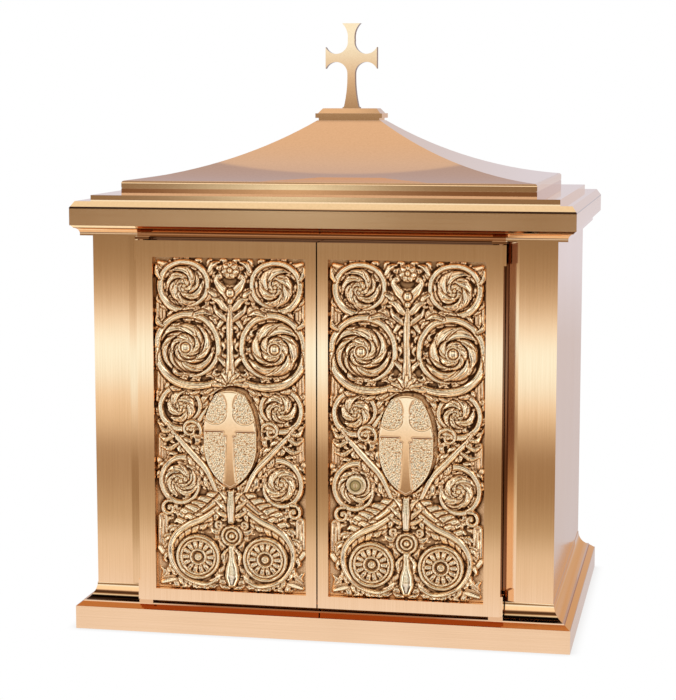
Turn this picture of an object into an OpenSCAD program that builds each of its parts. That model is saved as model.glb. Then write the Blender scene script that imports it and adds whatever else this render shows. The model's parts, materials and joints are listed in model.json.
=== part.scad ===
// Two-door altar tabernacle: a bronze-clad strong box on a stepped base, with
// an overhanging cornice, a concave hipped roof and a cross.
// Millimetres, +Z up. Origin at the middle of the underside. Front faces -Y.

/* [Overall] */
// Width over the base slab and the fascia
width = 560; // [500:1:620]
// Depth over the base slab and the fascia
depth = 410; // [360:1:460]
// Height from the underside to the top of the cross
height = 685; // [640:1:740]

/* [Base] */
// Height of the base slab
slab_h = 26; // [18:0.5:36]
// Height of the flat lip above the slab
lip_z = 32; // [28:0.5:42]
// Height at which the base cove meets the body
cove_top = 50; // [44:0.5:60]
// Setback of the body walls from the slab edge
body_in = 20.5; // [14:0.5:30]
// Thickness of the body wall plates
wall = 4; // [2:0.5:8]

/* [Cornice] */
// Underside of the moulding below the fascia
cornice_z = 446.9; // [430:0.1:460]
// Underside of the fascia
fascia_z = 458.5; // [440:0.5:475]
// Top edge of the fascia
fascia_top = 478.4; // [460:0.1:495]
// Top of the sloped edge above the fascia
slope_top = 485.2; // [470:0.1:500]
// Top of the low second step
step_top = 491.3; // [475:0.1:505]
// Top of the roof plinth
plinth_top = 506.5; // [490:0.5:520]

/* [Roof and cross] */
// Height of the roof's flat top
roof_top = 572.5; // [550:0.5:590]
// Underside of the cap plate
cap_z = 575.4; // [555:0.1:595]
// Top of the cap plate
cap_top = 580.7; // [560:0.1:600]
// Top of the sloped step that carries the cross
tier_top = 586.5; // [565:0.5:605]
// Thickness of the cross
cross_t = 9; // [6:0.5:14]

/* [Doors] */
// Distance from the centre line to a door's outer edge
door_x = 203.4; // [180:0.1:225]
// Bottom edge of the doors
door_z0 = 37.5; // [36.9:0.1:60]
// Top edge of the doors
door_z1 = 443.3; // [400:0.1:443.6]
// Half of the gap between the two doors
gap = 0.75; // [0.4:0.05:2]
// Width of the meeting stile, measured from the centre line
meet_x = 12.5; // [9:0.5:20]
// Inner edge of the outer stile
stile_x = 185; // [170:0.5:195]
// Lower edge of the relief panel
panel_z0 = 51; // [45:0.5:70]
// Upper edge of the relief panel
panel_z1 = 425; // [400:0.5:435]
// Radius of the pivot pins
pin_r = 2.5; // [2:0.25:4]
// Throw of each flush bolt
flush_throw = 12; // [8:1:16]

// Width of the splay beside the doors
splay_w = 12; // [6:1:16]
// Depth of the splay at the doors
splay_d = 2.4; // [1:0.1:2.8]

/* [Lock] */
// Height of the lock cylinder
lock_z = 177; // [150:1:200]
// Distance of the lock cylinder from the centre line
lock_x = 43; // [38:0.5:60]
// Radius of the lock cylinder's head
head_r = 8; // [7:0.25:10]

/* [Hidden] */
$fn = 48;
hw = width / 2;
hd = depth / 2;
bw = hw - body_in;
bd = hd - body_in;
run = 0.05;
// Doors: front face flush with the fascia, back face clear of the pilasters
y_front = -hd;
y_back = -hd + 17.5;
y_plate = -hd + 14;
y_ground = -hd + 6;
y_pil = -bd;
y_in = -bd + wall;
pivot_x = door_x - 4;
pivot_y = (y_front + y_back) / 2;
splay_x = door_x + 2.8 + splay_w;
panel_cx = (meet_x + stile_x) / 2;
panel_cz = (panel_z0 + panel_z1) / 2;
panel_w = stile_x - meet_x;
panel_h = panel_z1 - panel_z0;
emblem_z = panel_cz - 12;
// Strong box, outside sizes
box_x = 200;
box_z0 = 47;
box_z1 = 435;
box_y1 = 155;
box_t = 5;
lin_t = 1.2;
open_x = 190;
open_z0 = 52;
open_z1 = 430;
// Anchor holes through the floor
anchor_x = 150;
anchor_y0 = -120;
anchor_y1 = 100;
anchor_r = 4.5;
// Roof profile: a circle through the eaves and the flat top, hollow upwards
eave_in = 49;
flat_x = 37.5;
flat_y = 19.5;
sag_z = 12.8;
cross_z = 645;
bolt_y = y_back + 13;
flush_x = 24;
cam_r = 8.5;
cam_a = cam_r * sqrt(0.5);

// A block between two corners
module block(a, b) {
  translate(a) cube([b[0] - a[0], b[1] - a[1], b[2] - a[2]]);
}

// Four-sided moulding with mitred corners. Child 0 is the outline drawn for the
// width, child 1 the same outline drawn for the depth.
module mitred() {
  intersection() {
    rotate([90, 0, 0]) linear_extrude(depth + 20, center = true) children(0);
    rotate([90, 0, 90]) linear_extrude(width + 20, center = true) children(1);
  }
}

module band(h, z0, z1) {
  translate([-h, z0]) square([2 * h, z1 - z0]);
}

module taper(h0, h1, z0, z1) {
  polygon([[-h0, z0], [h0, z0], [h1, z1], [-h1, z1]]);
}

// ---- base ----
module base_slab() {
  color([0.90, 0.68, 0.45]) difference() {
    block([-hw, -hd, 0], [hw, hd, slab_h]);
    block([-hw + 30, -hd + 30, -1], [hw - 30, hd - 30, slab_h + 1]);
  }
}

module anchor_holes(z0, z1) {
  for (x = [-anchor_x, anchor_x])
    for (y = [anchor_y0, anchor_y1])
      translate([x, y, z0]) cylinder(h = z1 - z0, r = anchor_r);
}

module floor_plate() {
  color([0.45, 0.45, 0.46]) difference() {
    block([-hw + 30, -hd + 30, 0], [hw - 30, hd - 30, 8]);
    anchor_holes(-1, 9);
  }
}

module base_outline(h) {
  taper(h - 0.8, h - 6.5, slab_h, lip_z - 1.6);
  band(h - 7.2, lip_z - 1.6, lip_z);
  difference() {
    band(h - 9.3, lip_z, cove_top);
    translate([h + 0.7, cove_top]) circle(r = 20.6, $fn = 96);
    translate([-h - 0.7, cove_top]) circle(r = 20.6, $fn = 96);
  }
}

module base_moulding() {
  color([0.86, 0.60, 0.34]) difference() {
    mitred() {
      base_outline(hw);
      base_outline(hd);
    }
    block([-bw, -bd, slab_h - 1], [bw, bd, cove_top + 1]);
    block([-door_x - 3.4, -hd - 1, lip_z + 4.5], [door_x + 3.4, -bd + 1, cove_top + 1]);
    block([pivot_x - 9.4, -hd - 1, lip_z], [door_x + 3.4, -bd + 1, lip_z + 5]);
    block([-door_x - 3.4, -hd - 1, lip_z], [-pivot_x + 9.4, -bd + 1, lip_z + 5]);
  }
}

// ---- body ----
module left_side() {
  color([0.88, 0.72, 0.56]) block([-bw, y_in, slab_h], [-bw + wall, bd, fascia_z]);
}

module right_side() {
  color([0.88, 0.72, 0.56]) block([bw - wall, y_in, slab_h], [bw, bd, fascia_z]);
}

module back_panel() {
  color([0.80, 0.62, 0.42])
    block([-bw + wall, bd - wall, slab_h], [bw - wall, bd, fascia_z]);
}

// Front corner plate, with a shallow splay that falls back towards the doors
module pilaster() {
  translate([0, 0, slab_h]) linear_extrude(fascia_z - slab_h) polygon([
    [open_x, y_in], [bw, y_in], [bw, y_pil], [splay_x, y_pil],
    [splay_x - splay_w, y_pil + splay_d], [open_x, y_pil + splay_d]]);
}

module left_pilaster() {
  color([0.87, 0.65, 0.42]) mirror([1, 0, 0]) pilaster();
}

module right_pilaster() {
  color([0.87, 0.65, 0.42]) pilaster();
}

module header_strip() {
  color([0.87, 0.65, 0.42]) block([-open_x, y_pil, open_z1], [open_x, y_in, fascia_z]);
}

module sill_strip() {
  color([0.87, 0.65, 0.42]) block([-open_x, y_pil, slab_h], [open_x, y_in, open_z0]);
}

// ---- strong box ----
module box_floor() {
  color([0.42, 0.43, 0.45]) difference() {
    block([-box_x, y_in, box_z0], [box_x, box_y1, open_z0]);
    anchor_holes(box_z0 - 1, open_z0 + 1);
    translate([-flush_x, bolt_y, box_z0 - 1]) cylinder(h = 7, r = 4.6);
  }
}

module box_roof() {
  color([0.42, 0.43, 0.45]) difference() {
    block([-box_x, y_in, open_z1], [box_x, box_y1, box_z1]);
    translate([-flush_x, bolt_y, open_z1 - 1]) cylinder(h = 7, r = 4.6);
  }
}

module box_left() {
  color([0.42, 0.43, 0.45]) block([-box_x, y_in, open_z0], [-box_x + box_t, box_y1, open_z1]);
}

module box_right() {
  color([0.42, 0.43, 0.45]) block([box_x - box_t, y_in, open_z0], [box_x, box_y1, open_z1]);
}

module box_back() {
  color([0.42, 0.43, 0.45])
    block([-box_x + box_t, box_y1 - box_t, open_z0], [box_x - box_t, box_y1, open_z1]);
}

lin_x = box_x - box_t;
lin_y = box_y1 - box_t;

module lining_floor() {
  color([0.93, 0.78, 0.42]) difference() {
    block([-lin_x, y_in, open_z0], [lin_x, lin_y, open_z0 + lin_t]);
    anchor_holes(open_z0 - 1, open_z0 + 3);
    translate([-flush_x, bolt_y, open_z0 - 1]) cylinder(h = 4, r = 4.6);
  }
}

module lining_roof() {
  color([0.93, 0.78, 0.42]) difference() {
    block([-lin_x, y_in, open_z1 - lin_t], [lin_x, lin_y, open_z1]);
    translate([-flush_x, bolt_y, open_z1 - 3]) cylinder(h = 4, r = 4.6);
  }
}

module lining_left() {
  color([0.93, 0.78, 0.42])
    block([-lin_x, y_in, open_z0 + lin_t], [-lin_x + lin_t, lin_y, open_z1 - lin_t]);
}

module lining_right() {
  color([0.93, 0.78, 0.42])
    block([lin_x - lin_t, y_in, open_z0 + lin_t], [lin_x, lin_y, open_z1 - lin_t]);
}

module lining_back() {
  color([0.93, 0.78, 0.42]) block([-lin_x + lin_t, lin_y - lin_t, open_z0 + lin_t],
    [lin_x - lin_t, lin_y, open_z1 - lin_t]);
}

module anchor_sleeves() {
  color([0.55, 0.56, 0.58])
    for (x = [-anchor_x, anchor_x])
      for (y = [anchor_y0, anchor_y1])
        translate([x, y, 8]) difference() {
          cylinder(h = box_z0 - 8, r = 9);
          translate([0, 0, -1]) cylinder(h = box_z0, r = anchor_r);
        }
}

// ---- cornice ----
module cornice_outline(h) {
  taper(h - 3.2, h - 0.8, fascia_z - 2.4, fascia_z);
  band(h - 9.2, cornice_z, fascia_z - 2.4);
  difference() {
    band(h - 3.2, fascia_z - 9.8, fascia_z - 2.4);
    translate([h - 2.6, fascia_z - 9.5]) circle(r = 6.6, $fn = 64);
    translate([-h + 2.6, fascia_z - 9.5]) circle(r = 6.6, $fn = 64);
  }
}

module cornice_moulding() {
  color([0.90, 0.66, 0.38]) difference() {
    mitred() {
      cornice_outline(hw);
      cornice_outline(hd);
    }
    block([-bw, -bd, cornice_z - 1], [bw, bd, fascia_z + 1]);
  }
}

module fascia() {
  color([0.62, 0.46, 0.32]) difference() {
    block([-hw, -hd, fascia_z], [hw, hd, fascia_top]);
    block([-hw + 26, -hd + 26, fascia_z - 1], [hw - 26, hd - 26, fascia_top + 1]);
  }
}

module slope_outline(h) {
  taper(h, h - 0.9, fascia_top, fascia_top + 0.9);
  taper(h - 0.9, h - 5, fascia_top + 0.9, slope_top);
}

module cornice_slope() {
  color([0.92, 0.74, 0.48]) difference() {
    mitred() {
      slope_outline(hw);
      slope_outline(hd);
    }
    block([-hw + 42, -hd + 42, fascia_top - 1], [hw - 42, hd - 42, slope_top + 1]);
  }
}

module cornice_step() {
  color([0.78, 0.52, 0.28]) difference() {
    block([-hw + 19, -hd + 19, slope_top], [hw - 19, hd - 19, step_top]);
    block([-hw + 72, -hd + 72, slope_top - 1], [hw - 72, hd - 72, step_top + 1]);
  }
}

// The plinth has a fine groove at mid height and a rounded top edge
module plinth_outline(h) {
  band(h, step_top, step_top + 6.4);
  band(h - 0.7, step_top + 6.4, step_top + 7.2);
  band(h, step_top + 7.2, plinth_top - 3);
  band(h - 3, plinth_top - 3, plinth_top);
  translate([h - 3, plinth_top - 3]) circle(r = 3);
  translate([-h + 3, plinth_top - 3]) circle(r = 3);
}

module roof_plinth() {
  color([0.80, 0.56, 0.28]) difference() {
    mitred() {
      plinth_outline(hw - 46.3);
      plinth_outline(hd - 46.3);
    }
    block([-hw + 66, -hd + 66, step_top - 1], [hw - 66, hd - 66, plinth_top + 1]);
  }
}

// ---- roof ----
// Radius of the arc with the given chord and depth
function arc_r(c, s) = c * c / (8 * s) + s / 2;

module roof_outline(h, f) {
  rise = roof_top - plinth_top;
  c = sqrt((h - f) * (h - f) + rise * rise);
  s = sag_z * (h - f) / c;
  r = arc_r(c, s);
  ox = (h + f) / 2 + rise / c * (r - s);
  oz = (plinth_top + roof_top) / 2 + (h - f) / c * (r - s);
  difference() {
    band(h, plinth_top, roof_top);
    translate([ox, oz]) circle(r = r, $fn = 180);
    translate([-ox, oz]) circle(r = r, $fn = 180);
  }
}

module roof_body() {
  mitred() {
    roof_outline(hw - eave_in, flat_x);
    roof_outline(hd - eave_in, flat_y);
  }
}

module roof_shell() {
  color([0.88, 0.66, 0.42]) difference() {
    roof_body();
    translate([0, 0, -4]) roof_body();
    translate([0, 0, roof_top - 6]) cylinder(h = 8, r = 4.2);
  }
}

module cap_neck() {
  color([0.88, 0.66, 0.42]) difference() {
    block([-flat_x + 1.5, -flat_y + 1.5, roof_top], [flat_x - 1.5, flat_y - 1.5, cap_z]);
    translate([0, 0, roof_top - 1]) cylinder(h = 6, r = 4.2);
  }
}

module cap_plate() {
  color([0.76, 0.60, 0.36]) difference() {
    block([-39.5, -20.5, cap_z], [39.5, 20.5, cap_top]);
    translate([0, 0, cap_z - 1]) cylinder(h = 8, r = 4.2);
  }
}

module cap_tier() {
  color([0.90, 0.66, 0.42]) difference() {
    mitred() {
      taper(37, 32, cap_top, tier_top);
      taper(18, 13, cap_top, tier_top);
    }
    translate([0, 0, cap_top - 1]) cylinder(h = 8, r = 4.2);
  }
}

// Cross with flared, hollow-sided arms
module cross_outline() {
  foot = tier_top + 1.5 - cross_z;
  difference() {
    union() {
      translate([-10.6, 0]) square([21.2, height - cross_z]);
      translate([-30.5, -12.5]) square([61, 25]);
      translate([-8.8, foot]) square([17.6, -foot]);
    }
    for (m = [0, 1]) mirror([m, 0]) {
      translate([17.95, 18.7]) circle(r = 14, $fn = 96);
      intersection() {
        translate([25.9, 24]) circle(r = 22, $fn = 96);
        translate([0, 18.7]) square([60, 30]);
      }
      translate([18.1, -18.3]) circle(r = 13.6, $fn = 96);
      intersection() {
        translate([152.5, -22]) circle(r = 148, $fn = 180);
        translate([0, -90]) square([60, 71.7]);
      }
    }
  }
}

module top_cross() {
  color([0.88, 0.64, 0.38]) {
    translate([0, cross_t / 2, cross_z]) rotate([90, 0, 0])
      linear_extrude(cross_t) cross_outline();
    block([-10, -cross_t / 2 - 1, tier_top], [10, cross_t / 2 + 1, tier_top + 1.5]);
  }
}

module cross_stud() {
  color([0.5, 0.5, 0.52]) translate([0, 0, roof_top - 22])
    cylinder(h = tier_top - roof_top + 22, r = 4);
}

module cross_nut() {
  color([0.5, 0.5, 0.52]) difference() {
    translate([0, 0, roof_top - 11]) cylinder(h = 7, r = 8, $fn = 6);
    translate([0, 0, roof_top - 12]) cylinder(h = 9, r = 4.02);
  }
}

// ---- pivots and buffers on the case ----
module upper_pivots() {
  color([0.70, 0.52, 0.30]) for (m = [0, 1]) mirror([m, 0, 0]) {
    block([pivot_x - 9.4, y_front + 4.5, door_z1 + 0.7], [door_x + 2.6, y_pil, cornice_z]);
    translate([pivot_x, pivot_y, door_z1 - 11]) cylinder(h = 12, r = pin_r);
  }
}

module lower_pivots() {
  color([0.70, 0.52, 0.30]) for (m = [0, 1]) mirror([m, 0, 0]) {
    block([pivot_x - 9.4, y_front + 4.5, lip_z], [door_x + 2.6, y_pil, lip_z + 4.7]);
    translate([pivot_x, pivot_y, lip_z + 4]) cylinder(h = 12.5, r = pin_r);
  }
}

module door_buffers() {
  color([0.25, 0.10, 0.10]) for (x = [-60, 60])
    for (z = [45, 437])
      translate([x, y_pil, z]) rotate([90, 0, 0]) cylinder(h = 2.8, r = 4);
}

// ---- doors: drawn for the right leaf, mirrored for the left ----
module leaf_frame() {
  difference() {
    block([gap, y_front, door_z0], [door_x, y_plate, door_z1]);
    block([meet_x, y_front - 1, panel_z0], [stile_x, y_plate + 1, panel_z1]);
    translate([pivot_x, pivot_y, door_z1 - 12]) cylinder(h = 13, r = pin_r + run);
    translate([pivot_x, pivot_y, door_z0 - 1]) cylinder(h = 13, r = pin_r + run);
  }
}

module boss(x, z, r) {
  translate([x, y_ground, z]) rotate([90, 0, 0]) {
    cylinder(h = 1.6, r = r);
    cylinder(h = 3, r = r * 0.7);
    cylinder(h = 4.4, r = r * 0.25);
  }
}

module leaf_panel() {
  block([meet_x, y_ground, panel_z0], [stile_x, y_plate, panel_z1]);
  for (s = [-1, 1]) {
    boss(panel_cx + s * 52, panel_cz + 155.5, 26);
    boss(panel_cx + s * 52.5, panel_cz + 86.5, 33);
    boss(panel_cx + s * 54.5, panel_cz + 21.5, 20);
    boss(panel_cx + s * 56.5, panel_cz - 62, 23);
    boss(panel_cx + s * 38, panel_cz - 149, 25);
  }
  boss(panel_cx, panel_cz - 122, 11);
}

// Shield outline, round above and pointed below
module shield_outline() {
  intersection() {
    translate([-24, -10]) circle(r = 54, $fn = 180);
    translate([24, -10]) circle(r = 54, $fn = 180);
    translate([-40, -60]) square([80, 50]);
  }
  translate([-30, -10]) square([60, 13]);
  intersection() {
    translate([-50, 3]) circle(r = 80, $fn = 180);
    translate([50, 3]) circle(r = 80, $fn = 180);
    union() {
      translate([0, 22.3]) circle(r = 30, $fn = 96);
      translate([-40, 3]) square([80, 19.3]);
    }
    translate([-40, 3]) square([80, 60]);
  }
}

module leaf_shield() {
  translate([panel_cx, y_ground, emblem_z]) rotate([90, 0, 0])
    linear_extrude(3.4) shield_outline();
}

module shield_cross_outline() {
  difference() {
    union() {
      translate([-9, 10]) square([18, 60]);
      translate([-40, 5]) square([80, 17]);
      translate([-8, -70]) square([16, 80]);
    }
    for (m = [0, 1]) mirror([m, 0]) {
      translate([16.8, 28]) circle(r = 12.5, $fn = 64);
      intersection() {
        translate([30.3, 32]) circle(r = 26, $fn = 96);
        translate([0, 28]) square([60, 40]);
      }
      intersection() {
        translate([355, -5]) circle(r = 350, $fn = 180);
        translate([0, -80]) square([60, 80]);
      }
    }
  }
}

module leaf_shield_cross() {
  translate([panel_cx, y_ground - 3.4, emblem_z]) rotate([90, 0, 0])
    linear_extrude(1.6) intersection() {
      shield_outline();
      shield_cross_outline();
    }
}

module leaf_backplate() {
  block([gap, y_plate, door_z0], [door_x, y_back, door_z1]);
}

module leaf_straps() {
  for (z = [door_z0, door_z1 - 22.3])
    block([door_x, y_front + 2, z], [door_x + 2.6, y_back - 2.5, z + 22.3]);
}

module leaf_screws() {
  for (x = [8, 100, 194])
    for (z = [door_z0 + 8, door_z1 - 8])
      translate([x, y_back + 1.2, z]) rotate([90, 0, 0]) cylinder(h = 1.2, r = 3);
  for (x = [8, 194])
    for (z = [140, 240, 340])
      translate([x, y_back + 1.2, z]) rotate([90, 0, 0]) cylinder(h = 1.2, r = 3);
}

module left_frame() {
  color([0.89, 0.67, 0.44]) mirror([1, 0, 0]) leaf_frame();
}

module left_panel() {
  color([0.62, 0.42, 0.24]) mirror([1, 0, 0]) leaf_panel();
}

module left_shield() {
  color([0.80, 0.62, 0.42]) mirror([1, 0, 0]) leaf_shield();
}

module left_shield_cross() {
  color([0.90, 0.70, 0.48]) mirror([1, 0, 0]) leaf_shield_cross();
}

module left_backplate() {
  color([0.74, 0.58, 0.38]) mirror([1, 0, 0]) leaf_backplate();
}

module left_straps() {
  color([0.80, 0.58, 0.36]) mirror([1, 0, 0]) leaf_straps();
}

module left_screws() {
  color([0.55, 0.55, 0.57]) mirror([1, 0, 0]) leaf_screws();
}

// Socket on the left leaf that the lock bolt enters
module lock_keeper() {
  color([0.55, 0.56, 0.58]) difference() {
    block([-17, y_back, lock_z - 20], [-3, y_back + 17, lock_z + 2]);
    block([-14, y_back + 4.5, lock_z - 16], [-2, y_back + 12.5, lock_z - 2.5]);
  }
}

module flush_guides() {
  color([0.55, 0.56, 0.58]) for (z = [68, 108, 362, 402])
    difference() {
      block([-flush_x - 8, y_back, z], [-flush_x + 8, y_back + 20, z + 12]);
      translate([-flush_x, bolt_y, z - 1]) cylinder(h = 14, r = 4 + run);
    }
}

module upper_flush_bolt() {
  color([0.62, 0.63, 0.65]) {
    translate([-flush_x, bolt_y, 358]) cylinder(h = 66, r = 4);
    translate([-flush_x, bolt_y + 2, 380]) rotate([-90, 0, 0]) cylinder(h = 13, r = 2.5);
  }
}

module lower_flush_bolt() {
  color([0.62, 0.63, 0.65]) {
    translate([-flush_x, bolt_y, 58]) cylinder(h = 66, r = 4);
    translate([-flush_x, bolt_y + 2, 102]) rotate([-90, 0, 0]) cylinder(h = 13, r = 2.5);
  }
}

module right_frame() {
  color([0.89, 0.67, 0.44]) leaf_frame();
}

module right_panel() {
  color([0.62, 0.42, 0.24]) difference() {
    leaf_panel();
    translate([lock_x, y_plate + 1, lock_z]) rotate([90, 0, 0]) cylinder(h = 20, r = 7);
    translate([lock_x, y_front + 2.8, lock_z]) rotate([90, 0, 0]) cylinder(h = 4, r = head_r);
  }
}

module right_shield() {
  color([0.80, 0.62, 0.42]) leaf_shield();
}

module right_shield_cross() {
  color([0.90, 0.70, 0.48]) leaf_shield_cross();
}

module right_backplate() {
  color([0.74, 0.58, 0.38]) difference() {
    leaf_backplate();
    translate([lock_x, y_back + 1, lock_z]) rotate([90, 0, 0]) cylinder(h = 10, r = 7);
  }
}

module right_straps() {
  color([0.80, 0.58, 0.36]) leaf_straps();
}

module right_screws() {
  color([0.55, 0.55, 0.57]) leaf_screws();
}

// ---- lock ----
module lock_cylinder() {
  color([0.78, 0.66, 0.46]) difference() {
    union() {
      translate([lock_x, y_front + 2.8, lock_z]) rotate([90, 0, 0])
        cylinder(h = 2.8, r = head_r);
      translate([lock_x, y_back + 4, lock_z]) rotate([90, 0, 0])
        cylinder(h = 4 + 17.5 - 2.8, r = 7);
    }
    translate([lock_x, y_back + 5, lock_z]) rotate([90, 0, 0]) cylinder(h = 30, r = 5 + run);
  }
}

module lock_nut() {
  color([0.55, 0.56, 0.58]) difference() {
    translate([lock_x, y_back + 3, lock_z]) rotate([90, 0, 0]) cylinder(h = 3, r = 10.5, $fn = 6);
    translate([lock_x, y_back + 4, lock_z]) rotate([90, 0, 0]) cylinder(h = 5, r = 7);
  }
}

module lock_case() {
  color([0.58, 0.59, 0.60]) difference() {
    block([3, y_back, lock_z - 22], [64, y_back + 20, lock_z + 14]);
    block([5, y_back - 1, lock_z - 20], [62, y_back + 18, lock_z + 12]);
    block([2, y_back + 5.9, lock_z - 15.1], [6, y_back + 12.1, lock_z - 3.4]);
  }
}

// Plug with keyway, tail, cam arm and drive pin
module lock_plug() {
  color([0.84, 0.74, 0.55]) {
    difference() {
      translate([lock_x, y_back + 4.2, lock_z]) rotate([90, 0, 0]) cylinder(h = 21.4, r = 5);
      block([lock_x - 0.7, y_front - 1, lock_z - 3.4], [lock_x + 0.7, y_front + 9, lock_z + 3.4]);
    }
    translate([lock_x, y_back + 15.6, lock_z]) rotate([90, 0, 0]) cylinder(h = 11.4, r = 3);
    translate([lock_x, y_back + 15.6, lock_z]) rotate([90, 45, 0]) {
      translate([0, -2.5, 0]) cube([cam_r, 5, 2]);
      translate([cam_r, 0, 0]) cylinder(h = 2, r = 2.5);
      translate([cam_r, 0, 2]) cylinder(h = 7, r = 1.5);
    }
  }
}

// Flat bolt with the upright slot that the drive pin works in
module lock_bolt() {
  color([0.62, 0.63, 0.65]) difference() {
    block([4, y_back + 6, lock_z - 15], [lock_x + 14, y_back + 12, lock_z - 3.5]);
    block([lock_x + cam_a - 1.95, y_back + 5, lock_z - 12],
      [lock_x + cam_a + 1.95, y_back + 13, lock_z]);
  }
}

base_slab();
floor_plate();
base_moulding();
left_side();
right_side();
back_panel();
left_pilaster();
right_pilaster();
header_strip();
sill_strip();
box_floor();
box_roof();
box_left();
box_right();
box_back();
lining_floor();
lining_roof();
lining_left();
lining_right();
lining_back();
anchor_sleeves();
cornice_moulding();
fascia();
cornice_slope();
cornice_step();
roof_plinth();
roof_shell();
cap_neck();
cap_plate();
cap_tier();
top_cross();
cross_stud();
cross_nut();
upper_pivots();
lower_pivots();
door_buffers();
left_frame();
left_panel();
left_shield();
left_shield_cross();
left_backplate();
left_straps();
left_screws();
lock_keeper();
flush_guides();
upper_flush_bolt();
lower_flush_bolt();
right_frame();
right_panel();
right_shield();
right_shield_cross();
right_backplate();
right_straps();
right_screws();
lock_cylinder();
lock_nut();
lock_case();
lock_plug();
lock_bolt();
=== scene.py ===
import bpy
import json
import math
import numpy as np
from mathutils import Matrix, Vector


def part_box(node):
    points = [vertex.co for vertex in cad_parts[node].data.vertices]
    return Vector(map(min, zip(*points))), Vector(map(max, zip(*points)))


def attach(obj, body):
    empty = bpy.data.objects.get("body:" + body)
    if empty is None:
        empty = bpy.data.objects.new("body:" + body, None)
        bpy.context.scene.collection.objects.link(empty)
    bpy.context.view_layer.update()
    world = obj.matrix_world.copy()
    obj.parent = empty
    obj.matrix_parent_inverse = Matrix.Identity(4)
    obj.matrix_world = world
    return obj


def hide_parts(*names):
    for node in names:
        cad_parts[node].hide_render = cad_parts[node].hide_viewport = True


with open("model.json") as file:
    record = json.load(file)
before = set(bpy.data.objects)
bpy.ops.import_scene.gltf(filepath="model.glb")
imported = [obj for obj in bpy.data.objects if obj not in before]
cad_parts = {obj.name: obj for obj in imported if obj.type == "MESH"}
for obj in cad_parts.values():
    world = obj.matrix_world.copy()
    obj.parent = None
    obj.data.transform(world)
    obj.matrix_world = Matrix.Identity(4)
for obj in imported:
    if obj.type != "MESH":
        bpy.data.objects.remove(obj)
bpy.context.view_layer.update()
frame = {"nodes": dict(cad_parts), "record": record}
nodes = frame["nodes"]
scene = bpy.context.scene
scene.view_settings.view_transform = "Standard"
MM = 0.001


# ---------------------------------------------------------------- node trees
def empty_tree(owner, kind, shader):
    """Clear the nodes of a material or world, then join a new shader to a new output."""
    owner.use_nodes = True
    nt = owner.node_tree
    nt.nodes.clear()
    out = nt.nodes.new("ShaderNodeOutput" + kind)
    b = nt.nodes.new("ShaderNode" + shader)
    nt.links.new(b.outputs[0], out.inputs[0])
    return nt, b


def new_mat(name, shader="BsdfPrincipled"):
    m = bpy.data.materials.new(name)
    nt, b = empty_tree(m, "Material", shader)
    return m, nt, b


def tex_coord(nt, scale=(1, 1, 1)):
    tc = nt.nodes.new("ShaderNodeTexCoord")
    mp = nt.nodes.new("ShaderNodeMapping")
    mp.inputs["Scale"].default_value = scale
    nt.links.new(tc.outputs["Object"], mp.inputs["Vector"])
    return mp.outputs[0]


def component(nt, kind, axis):
    """One axis (0, 1, 2 for x, y, z) of the "Object" position, the "Normal" or the "Generated" direction."""
    tc = nt.nodes.new("ShaderNodeTexCoord")
    sep = nt.nodes.new("ShaderNodeSeparateXYZ")
    nt.links.new(tc.outputs[kind], sep.inputs[0])
    return sep.outputs[axis]


def noise(nt, vec, scale, detail=2.0, rough=0.5):
    n = nt.nodes.new("ShaderNodeTexNoise")
    n.inputs["Scale"].default_value = scale
    n.inputs["Detail"].default_value = detail
    n.inputs["Roughness"].default_value = rough
    nt.links.new(vec, n.inputs["Vector"])
    return n.outputs["Fac"]


def ramp(nt, fac, stops):
    """Colours blended between stops, which are pairs of a position and a colour."""
    r = nt.nodes.new("ShaderNodeValToRGB")
    e = r.color_ramp.elements
    e[0].position, e[0].color = stops[0][0], stops[0][1] + (1,)
    e[1].position, e[1].color = stops[-1][0], stops[-1][1] + (1,)
    for p, c in stops[1:-1]:
        e.new(p).color = c + (1,)
    nt.links.new(fac, r.inputs[0])
    return r.outputs["Color"]


def maprange(nt, fac, a, b, c=0.0, d=1.0, curve="LINEAR"):
    """Take the range from a to b to the range from c to d."""
    m = nt.nodes.new("ShaderNodeMapRange")
    m.interpolation_type = curve
    for k, v in enumerate((a, b, c, d)):
        m.inputs[k + 1].default_value = v
    nt.links.new(fac, m.inputs[0])
    return m.outputs[0]


def calc(nt, op, a, b=0.0):
    """A math node. Each of a and b is a socket or a number."""
    n = nt.nodes.new("ShaderNodeMath")
    n.operation = op
    for i, v in enumerate((a, b)):
        if isinstance(v, (int, float)):
            n.inputs[i].default_value = v
        else:
            nt.links.new(v, n.inputs[i])
    return n.outputs[0]


def times(nt, first, *others):
    for v in others:
        first = calc(nt, "MULTIPLY", first, v)
    return first


def mix_rgb(nt, fac, a, b, mode="MIX"):
    """A mix node. The factor is a socket or a number, and a and b are each a socket or a colour."""
    n = nt.nodes.new("ShaderNodeMixRGB")
    n.blend_type = mode
    for i, v in enumerate((fac, a, b)):
        if isinstance(v, float):
            n.inputs[i].default_value = v
        elif isinstance(v, tuple):
            n.inputs[i].default_value = v + (1,)
        else:
            nt.links.new(v, n.inputs[i])
    return n.outputs[0]


def bump(nt, b, h, strength, dist):
    n = nt.nodes.new("ShaderNodeBump")
    n.inputs["Strength"].default_value = strength
    n.inputs["Distance"].default_value = dist
    nt.links.new(h, n.inputs["Height"])
    nt.links.new(n.outputs[0], b.inputs["Normal"])


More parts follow.
